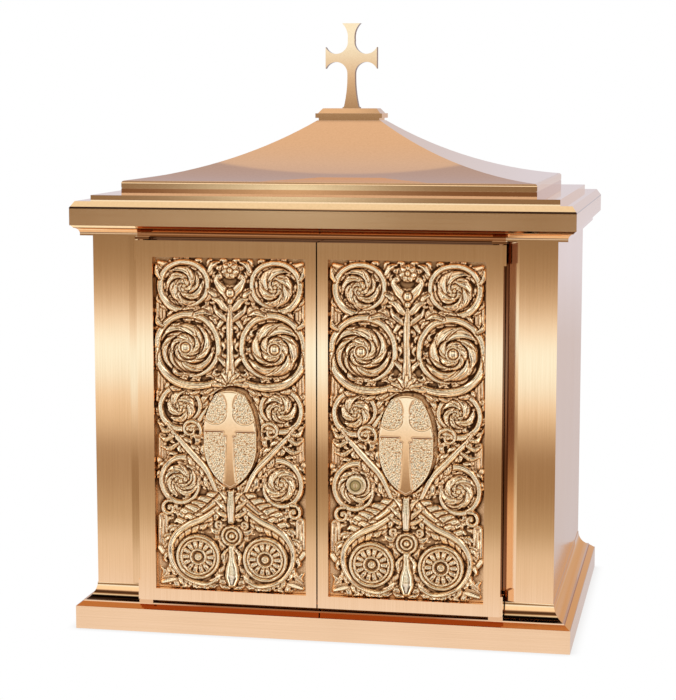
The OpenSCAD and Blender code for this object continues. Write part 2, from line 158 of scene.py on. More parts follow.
# ---------------------------------------------------------------- materials
def metal(name, dark, light, rough, strength, grain=None, aniso=0.0):
    """A metal that runs from dark to light in fine noise, which a grain stretches into brush lines."""
    m, nt, b = new_mat(name)
    b.inputs["Metallic"].default_value = 1.0
    if aniso:
        b.inputs["Anisotropic"].default_value = aniso
        tn = nt.nodes.new("ShaderNodeTangent")
        tn.direction_type = "RADIAL"
        tn.axis = "Z"
        nt.links.new(tn.outputs[0], b.inputs["Tangent"])
    if grain:
        fine = noise(nt, tex_coord(nt, grain), 1.0, 4.0, 0.65)
        big = noise(nt, tex_coord(nt, (9, 9, 3)), 1.0)
    else:
        v = tex_coord(nt)
        fine = noise(nt, v, 420.0, 3.0, 0.6)
        big = noise(nt, v, 14.0)
    nt.links.new(ramp(nt, fine, [(0.3, dark), (0.7, light)]), b.inputs["Base Color"])
    nt.links.new(maprange(nt, big, 0.3, 0.7, rough * 0.85, rough * 1.15), b.inputs["Roughness"])
    bump(nt, b, fine, strength, 0.12 * MM)
    return m


def felt():
    m, nt, b = new_mat("felt")
    f = noise(nt, tex_coord(nt), 1400.0, 4.0, 0.7)
    reds = ramp(nt, f, [(0.3, (0.1, 0.012, 0.012)), (0.7, (0.22, 0.04, 0.035))])
    nt.links.new(reds, b.inputs["Base Color"])
    b.inputs["Roughness"].default_value = 0.95
    bump(nt, b, f, 0.6, 0.4 * MM)
    return m


def cast_metal():
    """Bronze that is dark and dull in the hollows and bright and polished on the high places."""
    m, nt, b = new_mat("cast bronze")
    b.inputs["Metallic"].default_value = 1.0
    at = nt.nodes.new("ShaderNodeAttribute")
    at.attribute_name = "cavity"
    f = noise(nt, tex_coord(nt), 600.0, 3.0, 0.6)
    height = calc(nt, "ADD", calc(nt, "MULTIPLY", f, 0.25), at.outputs["Fac"])
    tone = [(0.15, (0.05, 0.02, 0.008)), (0.36, (0.42, 0.22, 0.1)), (0.56, (0.93, 0.6, 0.345)),
            (0.86, (1.0, 0.84, 0.61))]
    nt.links.new(ramp(nt, height, tone), b.inputs["Base Color"])
    nt.links.new(maprange(nt, height, 0.2, 0.75, 0.38, 0.09), b.inputs["Roughness"])
    bump(nt, b, f, 0.25, 0.2 * MM)
    return m


M = {
    "bronze_satin": metal("satin bronze", (0.86, 0.58, 0.35), (0.94, 0.66, 0.42), 0.07, 0.03,
                          (900, 900, 9), aniso=0.9),
    "bronze_polished": metal("polished bronze", (0.87, 0.59, 0.36), (0.93, 0.64, 0.4), 0.045, 0.004),
    "bronze_cast": cast_metal(),
    "lock_brass": metal("lock brass", (0.8, 0.6, 0.34), (0.87, 0.68, 0.42), 0.22, 0.05),
    "gilt_sheet": metal("gilt sheet", (0.86, 0.62, 0.25), (0.93, 0.7, 0.32), 0.22, 0.1, (60, 60, 700)),
    "steel_plate": metal("steel plate", (0.3, 0.31, 0.33), (0.42, 0.43, 0.45), 0.42, 0.1),
    "steel_parts": metal("bright steel", (0.5, 0.51, 0.53), (0.62, 0.63, 0.65), 0.28, 0.08),
    "felt_red": felt(),
}
ACROSS = metal("bronze brushed across", (0.865, 0.585, 0.355), (0.935, 0.655, 0.415), 0.1, 0.02,
               (7, 7, 1100))


# ---------------------------------------------------------------- tones
# Heights and distances from the middle of the front, in metres.
LIP_LOW, LIP_TOP = 0.0303, 0.0316       # front of the lip at the foot of the base cove
COVE_FOOT = 0.0366                      # top of the crease between the lip and the cove
PLINTH_SHADE = 0.4977                   # the roof plinth is darker below this
PILASTER_EDGE = 0.2078                  # outer edge of the strip of a pilaster beside the doors
DOORS_END = 0.2044                      # a moulding passes over the doors up to here
LOCK_X, LOCK_Z = 0.043, 0.177           # axis of the lock


def toned(base, name, *tones):
    """A copy of a metal, whose colour each tone (a mask and a colour) multiplies where its mask is 1."""
    m = base.copy()
    m.name = name
    nt = m.node_tree
    b = next(n for n in nt.nodes if n.type == "BSDF_PRINCIPLED")
    color = b.inputs["Base Color"].links[0].from_socket
    for mask, tone in tones:
        color = mix_rgb(nt, mask(nt), color, tone, "MULTIPLY")
    nt.links.new(color, b.inputs["Base Color"])
    return m


def everywhere(nt):
    """1 all over."""
    return 1.0


def size_of(nt, kind, axis):
    return calc(nt, "ABSOLUTE", component(nt, kind, axis))


def above(z, soft):
    """1 over a height, fading to 0 under it."""
    return lambda nt: maprange(nt, component(nt, "Object", 2), z - soft, z + soft)


def below(z, soft):
    """1 under a height, fading to 0 above it."""
    return lambda nt: maprange(nt, component(nt, "Object", 2), z - soft, z + soft, 1.0, 0.0)


def flank(nt):
    """1 on faces that look sideways, up or down, 0 on front and back faces; there the top cross's sides are
    painted in shade.
    """
    return calc(nt, "LESS_THAN", size_of(nt, "Normal", 1), 0.6)


def shaded_inner_edge(nt):
    """1 on the narrow strip of a pilaster next to the doors, where the painted shade beside the doors is
    laid.
    """
    return calc(nt, "LESS_THAN", size_of(nt, "Object", 0), PILASTER_EDGE)


def shaded_lip_top(nt):
    """1 on the faces of the lip of the base that look up, but not on those that look sideways: the lip's top
    is painted in shade.
    """
    up = calc(nt, "GREATER_THAN", component(nt, "Normal", 2), 0.7)
    ahead = calc(nt, "LESS_THAN", size_of(nt, "Normal", 0), 0.3)
    return times(nt, up, ahead, below(LIP_TOP, 0.0003)(nt))


def crease(nt):
    """1 in the crease where the front cove of the base meets its lip, less under the doors: a painted dark
    reflection and shade.
    """
    front = calc(nt, "LESS_THAN", component(nt, "Normal", 1), -0.12)
    beside_doors = maprange(nt, size_of(nt, "Object", 0), 0.19, 0.2, 0.75, 1.0)
    return times(nt, front, beside_doors, below(COVE_FOOT, 0.0004)(nt), above(LIP_TOP + 0.0003, 0.0003)(nt))


def shaded_lip_front(nt):
    """1 on the narrow front of the lip where the doors stand over it, fading towards their edges: the doors'
    shade is painted there.
    """
    front = calc(nt, "LESS_THAN", component(nt, "Normal", 1), -0.8)
    under_doors = maprange(nt, size_of(nt, "Object", 0), 0.13, 0.2, 1.0, 0.0)
    return times(nt, front, above(LIP_LOW, 0.0003)(nt), below(LIP_TOP + 0.0004, 0.0003)(nt), under_doors)


def shaded_top_line(depth):
    """1 within a depth of the top of the fascia, where a line of painted shade under the overhang above is
    laid.
    """
    return above(max(v.co.z for v in nodes["fascia"].data.vertices) - depth, 0.0003)


def shade_over_doors(nt):
    """1 on the front and underside of a moulding where it passes over the doors, where their painted shade
    and dark reflection are laid.
    """
    front = calc(nt, "LESS_THAN", component(nt, "Normal", 1), 0.3)
    across = maprange(nt, size_of(nt, "Object", 0), DOORS_END - 0.0004, DOORS_END + 0.0004, 1.0, 0.0)
    return times(nt, front, across)


def lock_ring(near, far):
    """1 between two distances from the axis of the lock."""
    def mask(nt):
        dx = calc(nt, "SUBTRACT", component(nt, "Object", 0), LOCK_X)
        dz = calc(nt, "SUBTRACT", component(nt, "Object", 2), LOCK_Z)
        away = calc(nt, "SQRT", calc(nt, "ADD", times(nt, dx, dx), times(nt, dz, dz)))
        inside = maprange(nt, away, far - 0.0002, far + 0.0002, 1.0, 0.0)
        return times(nt, inside, maprange(nt, away, near - 0.0002, near + 0.0002))
    return mask


SATIN, POLISHED, BRASS = M["bronze_satin"], M["bronze_polished"], M["lock_brass"]
SPECIAL = {
    "lock_cylinder": toned(BRASS, "ringed lock brass", (lock_ring(0.0048, 0.0066), (0.3, 0.27, 0.19))),
    "lock_plug": toned(BRASS, "lock plug brass", (lock_ring(0.0026, 0.007), (0.62, 0.6, 0.46))),
    # the fascia's top edge is painted dark: a painted line of shade under the overhang
    "fascia": toned(ACROSS, "fascia bronze", (shaded_top_line(0.0014), (0.16, 0.12, 0.1))),
    "base_slab": ACROSS,
    # the moulding over the doors is painted darker: painted shade and dark reflection of the doors' tops
    "cornice_moulding": toned(POLISHED, "shaded cornice bronze", (shade_over_doors, (0.62, 0.42, 0.3))),
    # the base moulding's lip top, crease and lip front are painted in shade and dark reflection
    "base_moulding": toned(POLISHED, "shaded base bronze", (shaded_lip_top, (0.62, 0.42, 0.31)),
                           (crease, (0.06, 0.045, 0.04)), (shaded_lip_front, (0.42, 0.22, 0.12))),
    # the pivots are darker copies of the polished bronze: painted shade, deep on the upper pivots and slight
    # on the lower
    "upper_pivots": toned(POLISHED, "upper pivot bronze", (everywhere, (0.45, 0.34, 0.28))),
    "lower_pivots": toned(POLISHED, "lower pivot bronze", (everywhere, (0.86, 0.76, 0.68))),
    # the sides of the top cross are painted dark: painted shade
    "top_cross": toned(POLISHED, "cross bronze", (flank, (0.14, 0.07, 0.06))),
    # the roof plinth is painted darker below PLINTH_SHADE: painted shade
    "roof_plinth": toned(POLISHED, "plinth bronze", (below(PLINTH_SHADE, 0.0004), (0.72, 0.52, 0.42))),
    # the header strip is the satin bronze painted very dark: painted shade
    "header_strip": toned(SATIN, "shaded bronze", (everywhere, (0.16, 0.1, 0.08))),
}
# the strip of each pilaster beside the doors is painted dark: painted shade
for side in ("left", "right"):
    SPECIAL[side + "_pilaster"] = toned(SATIN, side + " pilaster bronze", (shaded_inner_edge, (0.3, 0.2, 0.17)))
slots = {s["node"]: s["material_slot"] for s in frame["record"]["subparts"]}
for n, o in nodes.items():
    o.data.materials.clear()
    o.data.materials.append(SPECIAL.get(n, M[slots[n]]))


# ---------------------------------------------------------------- edges
ROUND = {
    "base_slab": 0.0012, "fascia": 0.0014, "left_frame": 0.0006, "right_frame": 0.0006,
    "left_pilaster": 0.0005, "right_pilaster": 0.0005, "left_side": 0.0008, "right_side": 0.0008,
    "back_panel": 0.0005, "cap_plate": 0.0008, "cap_tier": 0.0006, "cornice_step": 0.0005,
    "cornice_slope": 0.0004, "top_cross": 0.0011,
}
for n, width in ROUND.items():
    md = nodes[n].modifiers.new("edge", "BEVEL")
    md.width = width
    md.segments = 2
    md.limit_method = "ANGLE"
    md.angle_limit = math.radians(40)
    md.harden_normals = False
for n, o in nodes.items():
    for p in o.data.polygons:
        p.use_smooth = True
    # the splay of a pilaster turns by a small angle only, and stays crisp
    o.data.set_sharp_from_angle(angle=math.radians(8 if n.endswith("pilaster") else 28))


# ---------------------------------------------------------------- relief
# A cast panel is a height field. All sizes here are millimetres on the panel,
# u to the right and v up from the panel's centre.
PANEL_W, PANEL_H = 172.5, 374.0
CELL = 0.82                 # pitch of the height field
STEP = 0.5                  # pitch of the points along a curve


class Relief:
    """A height field that strokes are laid on, one over another."""

    def __init__(self, width, height, cell):
        self.nu = int(round(width / cell))
        self.nv = int(round(height / cell))
        u = np.linspace(-width / 2, width / 2, self.nu + 1)
        v = np.linspace(-height / 2, height / 2, self.nv + 1)
        self.u, self.v = np.meshgrid(u, v)
        self.h = np.zeros_like(self.u)

    def window(self, u0, u1, v0, v1):
        iu = np.nonzero((self.u[0] >= u0) & (self.u[0] <= u1))[0]
        iv = np.nonzero((self.v[:, 0] >= v0) & (self.v[:, 0] <= v1))[0]
        if not len(iu) or not len(iv):
            return None
        return slice(iv[0], iv[-1] + 1), slice(iu[0], iu[-1] + 1)

    def lay(self, win, q, z, gap):
        """Put z where q < 1, and cut a narrow gap around it."""
        h = self.h[win]
        inside = q < 1
        near = (q >= 1) & (q < 1 + gap)
        floor_h = np.where(near, h * np.clip((q - 1) / gap, 0, 1) ** 0.7, h)
        self.h[win] = np.where(inside, z, floor_h)


def smooth_path(points):
    """A Catmull-Rom curve through the points, in steps of about STEP."""
    p = np.array(points, float)
    p = np.vstack([2 * p[0] - p[1], p, 2 * p[-1] - p[-2]])
    out = []
    for i in range(1, len(p) - 2):
        n = max(4, int(np.hypot(*(p[i + 1] - p[i])) / STEP))
        t = np.linspace(0, 1, n, endpoint=False)[:, None]
        a, b, c, d = p[i - 1], p[i], p[i + 1], p[i + 2]
        out.append(0.5 * (2 * b + (c - a) * t + (2 * a - 5 * b + 4 * c - d) * t ** 2
                          + (3 * b - a - 3 * c + d) * t ** 3))
    out.append(p[-2][None])
    return np.vstack(out)


def stroke(r, points, widths, heights, kind="round", tilt=0.0, gap=0.35, edge=0.4, flutes=0):
    """A raised band along a curve. widths and heights run evenly from its start to its end."""
    path = smooth_path(points)
    wmax = max(widths) * (1 + gap) + 1
    lo, hi = path.min(0) - wmax, path.max(0) + wmax
    win = r.window(lo[0], hi[0], lo[1], hi[1])
    if win is None:
        return
    u, v = r.u[win], r.v[win]
    seg = np.gradient(path, axis=0)
    seg /= np.maximum(np.hypot(seg[:, 0], seg[:, 1]), 1e-9)[:, None]
    length = np.concatenate([[0], np.cumsum(np.hypot(*np.diff(path, axis=0).T))])
    t_of = length / length[-1]
    w_of = np.interp(t_of, np.linspace(0, 1, len(widths)), widths)
    best = np.full(u.shape, 1e9)
    side = np.zeros(u.shape)
    t = np.zeros(u.shape)
    for (pu, pv), (su, sv), ti, wi in zip(path, seg, t_of, w_of):
        du, dv = u - pu, v - pv
        q = np.hypot(du, dv) / max(wi, 0.15)
        m = q < best
        best = np.where(m, q, best)
        side = np.where(m, (su * dv - sv * du) / max(wi, 0.15), side)
        t = np.where(m, ti, t)
    hh = np.interp(t, np.linspace(0, 1, len(heights)), heights)
    q = best
    body = np.sqrt(np.clip(1 - q ** 2, 0, 1))
    if kind == "leaf":
        z = edge + (1 - edge) * body - 0.22 * np.exp(-(side / 0.14) ** 2)
    elif kind == "channel":
        z = edge + (1 - edge) * np.where(q < 0.72, 0.45 + 0.55 * (q / 0.72) ** 2,
                                         np.sqrt(np.clip(1 - ((q - 0.72) / 0.28) ** 2, 0, 1)))
    elif kind == "ribbed":
        ribs = 0.9 + 0.1 * np.cos(3 * math.pi * np.clip(side, -1, 1) + math.pi)
        z = (edge + (1 - edge) * (1 - q ** 6)) * ribs
    elif kind == "keel":
        z = edge + (1 - edge) * np.clip(1 - q, 0, 1)
    else:
        z = edge + (1 - edge) * body
    if flutes:
        z = z + 0.13 * np.cos(math.pi * flutes * side)
    z = hh * np.maximum(z + tilt * side, 0.05)
    r.lay(win, q, z, gap)


def near_point(r, cu, cv, w):
    """The window of half size w about a point, and how far its cells are from that point."""
    win = r.window(cu - w, cu + w, cv - w, cv + w)
    return win, np.hypot(r.u[win] - cu, r.v[win] - cv)


def dome(q, height, edge):
    """A round top that starts from a step of edge times its height."""
    return height * (edge + (1 - edge) * np.sqrt(np.clip(1 - q ** 2, 0, 1)))


def boss(r, cu, cv, radius, height, edge=0.3, gap=0.3):
    win, away = near_point(r, cu, cv, radius * (1 + gap) + 1)
    q = away / radius
    r.lay(win, q, dome(q, height, edge), gap)


def ring(r, cu, cv, radius, half, height):
    """A round wire of half width half, bent into a circle."""
    gap = 0.5
    win, away = near_point(r, cu, cv, radius + half * (1 + gap) + 1)
    q = np.abs(away - radius) / half
    r.lay(win, q, dome(q, height, 0.3), gap)


def dish(r, cu, cv, radius, level):
    """A flat sunk disc."""
    win, away = near_point(r, cu, cv, radius)
    r.h[win] = np.where(away / radius < 1, level, r.h[win])


def spiral(cu, cv, r0, r1, a0, sweep, n):
    """Points on a spiral from radius r0 to r1, starting at angle a0 (degrees)."""
    t = np.linspace(0, 1, n)
    a = np.radians(a0 + sweep * t)
    rad = r0 + (r1 - r0) * t
    return np.stack([cu + rad * np.cos(a), cv + rad * np.sin(a)], 1)


def flip(s, pts):
    """Points of one half of the panel, on the side s (+1 or -1)."""
    return [(s * a, b) for a, b in pts]


def scaled(values, by):
    return [v * by for v in values]


def tips(r, s, curves, widths, heights):
    """Small leaf tips that curl away from a volute or stem."""
    for points in curves:
        stroke(r, flip(s, points), widths, heights, "leaf", tilt=0.3 * s, gap=0.4)


def whirl(r, cu, cv, radius, count, spin, height, inner, start, wide, reach):
    """Leaves that swirl out from a centre; spin is +1 or -1."""
    for k in range(count):
        a0 = start + 360.0 * k / count
        size = 1.0 - 0.1 * ((k * 7) % 3)
        pts = spiral(cu, cv, radius * inner, radius * size, a0, spin * reach, 9)
        w = radius * wide
        stroke(r, pts, scaled((0.35, 0.8, 1, 0.95, 0.7, 0.12), w), scaled((0.75, 1, 0.9, 0.55), height),
               "leaf", tilt=0.42 * spin, gap=0.26, edge=0.3)
        # a small lobe that splits off the leaf's outer edge
        lobe = spiral(cu, cv, radius * 0.55, radius * 0.98 * size, a0 + spin * reach * 0.42,
                      spin * reach * 0.3, 6)
        stroke(r, lobe, scaled((0.25, 0.42, 0.3, 0.08), w), scaled((0.8, 0.85, 0.5), height), "round",
               tilt=0.2 * spin, gap=0.5, edge=0.3)


def frill(r, points, side, size, height, pitch, first, last):
    """Small leaves in a row along one side of a curve, all leaning forwards."""
    path = smooth_path(points)
    length = np.concatenate([[0], np.cumsum(np.hypot(*np.diff(path, axis=0).T))])
    count = max(2, int(length[-1] * (last - first) / (size * pitch)))
    for i in range(count):
        f = first + (last - first) * (i + 0.5) / count
        k = int(np.searchsorted(length, f * length[-1]))
        k = min(max(k, 2), len(path) - 3)
        d = path[k + 2] - path[k - 2]
        d /= max(np.hypot(*d), 1e-9)
        nrm = side * np.array([-d[1], d[0]])
        grow = size * (0.8 + 0.35 * math.sin(2.4 * i))
        p = path[k]
        stroke(r, [p, p + nrm * grow * 0.8 + d * grow * 0.35, p + nrm * grow * 1.25 + d * grow * 1.25,
                   p + nrm * grow * 0.9 + d * grow * 1.8],
               scaled((0.3, 0.46, 0.34, 0.1), grow), scaled((0.8, 1, 0.85, 0.6), height),
               "leaf", tilt=-0.3 * side, gap=0.3, edge=0.35)


def undergrowth(r, spacing, half_u, seed):
    """Small curled leaves all over, which show only where nothing else covers them."""
    rng = np.random.RandomState(seed)
    rows = int(PANEL_H / spacing)
    for j in range(rows):
        for i in range(int(half_u / spacing) + 1):
            u = (i + 0.5 + 0.5 * (j % 2)) * spacing + rng.uniform(-1.5, 1.5)
            v = -PANEL_H / 2 + (j + 0.5) * spacing + rng.uniform(-1.5, 1.5)
            a = rng.uniform(0, 360)
            size = spacing * rng.uniform(0.55, 0.8)
            spin = 1 if rng.uniform() > 0.5 else -1
            if u > half_u:
                continue
            for s in (-1, 1):
                pts = [(s * pu, pv) for pu, pv in spiral(u, v, size, size * 0.25, a, spin * 260, 9)]
                stroke(r, pts, scaled((0.16, 0.4, 0.34, 0.14), size), [1.8, 3.0, 3.2, 2.4], "leaf",
                       tilt=0.25 * spin * s, gap=0.4)


def acanthus(r, points, width, height, lobes, lean):
    """A pointed leaf with pairs of curled lobes along a rib."""
    path = smooth_path(points)
    n = len(path)
    for i in range(lobes):
        f = (i + 0.35) / lobes
        k = int(f * (n - 2))
        p = path[k]
        d = path[min(k + 3, n - 1)] - path[max(k - 3, 0)]
        d /= max(np.hypot(*d), 1e-9)
        nrm = np.array([-d[1], d[0]])
        size = width * (math.sin(math.pi * (0.22 + 0.72 * f)) ** 0.8)
        for s in (-1, 1):
            a = p + d * size * 0.35 + s * nrm * size * 0.45
            b = p + d * size * (0.75 * lean) + s * nrm * size * 0.82
            c = p + d * size * (1.15 * lean) + s * nrm * size * 0.8
            stroke(r, [p, a, b, c], scaled((0.2, 0.3, 0.26, 0.1), size), scaled((0.8, 1, 0.75), height),
                   "leaf", tilt=-0.25 * s, gap=0.3, edge=0.35)
    stroke(r, points, scaled((0.26, 0.2, 0.08), width), scaled((1, 0.95, 0.6), height), "keel", gap=0.5)


def border_fingers(r, s):
    """Plain long leaves that stand against the two side borders."""
    c = s * 79.0
    for v0, v1, w, lift in ((108, 142, 5.4, 2.6), (36, 60, 5.0, 2.4), (-40, -14, 4.6, 2.2),
                            (-140, -106, 5.8, 3.0)):
        stroke(r, [(c, v0), (c, (v0 + v1) / 2), (c, v1)], scaled((1, 1, 0.92), w), scaled((0.6, 1, 1), lift),
               "channel", edge=0.25, gap=0.3)
        stroke(r, [(c, v0 + 2), (c, v1 - 3)], scaled((0.22, 0.3, 0.2), w), scaled((0.9, 1.05, 1), lift),
               "round", edge=0.5, gap=0.4)
        stroke(r, [(c + s * 4, v0 - 1), (c - s * 1, v0 - 7), (c - s * 7, v0 - 10)], [3.2, 3.0, 1.0],
               scaled((1, 1.25, 1), lift), "leaf", tilt=0.2 * s, gap=0.4)


def corners(r, s):
    """Fans of four small leaves in the corners."""
    c = s * 74
    for cv, up in ((176.0, 1), (-176.0, -1)):
        for du, dv in ((8, -12), (2, -8), (-8, -3), (-14, 2)):
            stroke(r, [(c + s * 7, cv + up * 5), (c + s * du * 0.5, cv + up * dv * 0.5),
                       (c + s * du, cv + up * dv)], [2.0, 3.3, 1.0], [2.2, 2.6, 1.6], "leaf",
                   tilt=0.25 * s, gap=0.4)


def volute(r, cu, cv, stem, widths, heights, gap, frills, outer, inner, eye):
    """A frilled stem that curls round a whirl of leaves, with a smaller whirl and a boss in its eye."""
    for leaves in frills:
        frill(r, stem, *leaves)
    whirl(r, cu, cv, *outer)
    stroke(r, stem, widths, heights, "ribbed", gap=gap)
    whirl(r, cu, cv, *inner)
    boss(r, cu, cv, *eye)


def curl(r, cu, cv, r0, r1, a0, sweep, n, widths, heights, eye):
    """A plain round tendril, coiled round a boss."""
    stroke(r, spiral(cu, cv, r0, r1, a0, sweep, n), widths, heights, "round", gap=0.45)
    boss(r, cu, cv, *eye)


def top_volutes(r, s):
    stem = flip(s, [(12, 112), (24, 119), (36, 123.5), (51.5, 126), (66, 131), (76, 142), (79.5, 156),
                    (75, 170), (64, 179), (51, 181.5), (38, 178.5), (28, 169.5), (25, 157), (28, 145),
                    (37, 136), (49, 132)])
    volute(r, 51.5 * s, 155.0, stem,
           [1.6, 2.4, 3.2, 3.8, 4.0, 3.8, 3.6, 3.2, 3.0, 3.0, 3.0, 3.0, 2.8, 2.6, 2.2, 0.8],
           [3.6, 4.4, 5.0, 5.2, 5.2, 5.0, 4.8, 4.6, 4.6, 4.6, 4.4, 4.2, 3.6], 0.6,
           frills=[(-s, 6.0, 4.2, 1.0, 0.04, 0.34), (s, 4.6, 4.2, 1.1, 0.1, 0.8)],
           outer=(25.5 * 0.9, 6, -s, 5.2, 0.16, 20 if s > 0 else 160, 0.215, 150),
           inner=(9.5, 5, -s, 5.8, 0.12, 40, 0.25, 130), eye=(2.6, 5.8))
    tips(r, s, [[(24, 172), (19, 180), (12, 182)], [(23, 150), (17, 146), (15, 139)],
                [(80, 163), (84, 170), (84, 178)]], [2.2, 3.0, 0.9], [4.0, 4.2, 2.6])


def middle_volutes(r, s):
    cu, cv, rad = 50.5 * s, 86.5, 34.0
    stem = flip(s, [(4, 62), (13, 51), (28, 45), (46, 44), (64, 49), (78, 62), (84, 80), (82, 99), (73, 113),
                    (58, 122), (42, 123), (27, 117), (17, 105), (13.5, 91), (14.5, 77), (22, 65), (33, 57),
                    (46, 54)])
    volute(r, cu, cv, stem,
           [2.4, 3.2, 3.8, 4.4, 4.4, 4.2, 4.0, 3.8, 3.8, 3.6, 3.6, 3.6, 3.4, 3.2, 3.0, 2.8, 2.2, 0.8],
           [4.4, 5.2, 5.6, 5.6, 5.6, 5.4, 5.2, 5.0, 5.0, 4.8, 4.8, 4.4, 3.6], 0.6,
           frills=[(-s, 6.5, 4.4, 1.0, 0.05, 0.22), (-s, 5.0, 4.4, 1.1, 0.3, 0.8)],
           outer=(rad * 0.94, 6, -s, 5.6, 0.28, 8, 0.205, 165),
           inner=(rad * 0.5, 5, -s, 6.0, 0.3, 50, 0.26, 150), eye=(5.6, 6.3, 0.45))
    ring(r, cu, cv, 7.4, 1.1, 5.6)
    tips(r, s, [[(83, 84), (86, 76), (84, 66)], [(77, 110), (83, 114), (84, 121)],
                [(14, 110), (8, 118), (2, 121)], [(12, 76), (6, 70), (3, 62)],
                [(40, 124), (30, 127), (22, 124)]], [2.2, 3.2, 0.9], [4.4, 4.6, 3.0])


def small_volutes(r, s):
    acanthus(r, flip(s, [(10, 40), (24, 36), (40, 38), (54, 43), (70, 47)]), 12.0, 5.0, 5, 0.8)
    stem = flip(s, [(24, 22), (31, 13), (39, 2), (52, -4.5), (67, -3), (78, 8), (80, 23), (73, 36), (60, 42),
                    (46, 39), (37, 30), (35, 18), (41, 8), (51, 3)])
    volute(r, 56.0 * s, 20.0, stem,
           [1.6, 2.4, 3.2, 3.4, 3.4, 3.2, 3.0, 3.0, 2.8, 2.8, 2.6, 2.4, 2.0, 0.8],
           [4.2, 4.8, 5.2, 5.2, 5.0, 4.8, 4.8, 4.6, 4.2, 3.6], 0.6,
           frills=[(-s, 5.0, 4.4, 1.0, 0.02, 0.7)], outer=(20.5 * 0.9, 5, s, 5.2, 0.18, 12, 0.235, 150),
           inner=(7.5, 5, s, 5.8, 0.12, 30, 0.26, 110), eye=(2.4, 5.8))


def side_stems(r, s):
    stem = flip(s, [(72, 0), (66, -9), (56, -20), (40, -37), (28, -50), (20, -66), (14, -80)])
    frill(r, stem, s, 6.5, 4.6, 0.95, 0.0, 0.95)
    frill(r, stem, -s, 6.0, 4.6, 0.95, 0.15, 0.95)
    stroke(r, stem, [1.6, 3.0, 3.6, 3.8, 3.6, 3.0, 2.0], [3.8, 5.0, 5.6, 5.8, 5.6, 5.0], "ribbed", gap=0.4)
    curl(r, 45.5 * s, -5.5, 12.0, 3.0, 200 if s > 0 else -20, -s * 400, 18,
         [2.0, 2.4, 2.2, 2.0, 1.6, 1.0], [4.2, 5.2, 5.2, 4.8, 4.4], (2.4, 5.2))
    tips(r, s, [[(70, -8), (77, -8), (82, -2)], [(66, -14), (75, -18), (82, -14)],
                [(60, -22), (70, -28), (80, -26)]], [1.8, 3.0, 0.9], [4.2, 4.6, 2.8])


def lower_volutes(r, s):
    stem = flip(s, [(17, -84), (22, -70), (29, -54), (40, -42), (54, -37), (68, -41), (78, -53), (80, -68),
                    (73, -82), (60, -88.5), (46, -85), (38, -74), (38, -63)])
    volute(r, 57.5 * s, -64.0, stem, [2.2, 3.2, 3.6, 3.8, 3.6, 3.4, 3.2, 3.0, 3.0, 2.8, 2.4, 2.0, 0.8],
           [4.8, 5.4, 5.6, 5.4, 5.2, 5.0, 4.8, 4.4, 3.6], 0.35,
           frills=[(s, 5.0, 4.4, 1.0, 0.05, 0.55), (-s, 4.6, 4.4, 1.0, 0.05, 0.35)],
           outer=(22.0 * 0.92, 7, -s, 5.4, 0.2, 30, 0.19, 170),
           inner=(9.0, 5, -s, 5.9, 0.15, 10, 0.26, 120), eye=(3.2, 6.0))
    curl(r, 71.5 * s, -95.5, 9.0, 2.2, 110 if s > 0 else 70, -s * 420, 16,
         [1.8, 2.2, 2.0, 1.8, 1.0], [4.4, 5.0, 5.0, 4.4], (2.2, 5.0))


def great_leaves(r, s):
    acanthus(r, flip(s, [(9, -78), (20, -88), (31, -97), (44, -104), (58, -108)]), 17.0, 5.4, 6, 0.9)
    acanthus(r, flip(s, [(24, -106), (44, -112), (58, -120), (68, -131), (73, -144)]), 13.0, 5.0, 6, 0.9)
    stem = flip(s, [(5, -82), (18, -95), (33, -106), (50, -114), (63, -124), (70, -138), (69, -154),
                    (60, -169), (46, -178), (30, -181), (17, -176)])
    frill(r, stem, s, 5.5, 4.6, 1.0, 0.35, 0.95)
    stroke(r, stem, [2.0, 3.0, 3.6, 3.8, 3.8, 3.6, 3.4, 3.2, 3.0, 2.4, 1.2],
           [5.0, 5.8, 6.0, 5.8, 5.6, 5.4, 5.0, 4.6, 3.8], "ribbed", gap=0.35)


def wheels(r, s):
    """The two wheels at the foot, with a ring of short leaves round the hub."""
    cu, cv = 38.5 * s, -150.0
    boss(r, cu, cv, 25.5, 3.6, edge=0.9)
    ring(r, cu, cv, 23.6, 1.9, 5.4)
    dish(r, cu, cv, 21.6, 1.6)
    ring(r, cu, cv, 19.4, 1.5, 4.8)
    dish(r, cu, cv, 17.2, 1.2)
    count = 14
    for k in range(count):
        a = 2 * math.pi * k / count
        ca, sa = math.cos(a), math.sin(a)
        stroke(r, [(cu + 9.5 * ca, cv + 9.5 * sa), (cu + 16.0 * ca, cv + 16.0 * sa)],
               [1.3, 2.4, 2.7], [3.4, 4.6, 4.2], "leaf", gap=0.25)
    ring(r, cu, cv, 8.4, 1.3, 4.8)
    dish(r, cu, cv, 6.9, 1.6)
    boss(r, cu, cv, 4.6, 5.2)
    boss(r, cu, cv, 1.8, 6.0)


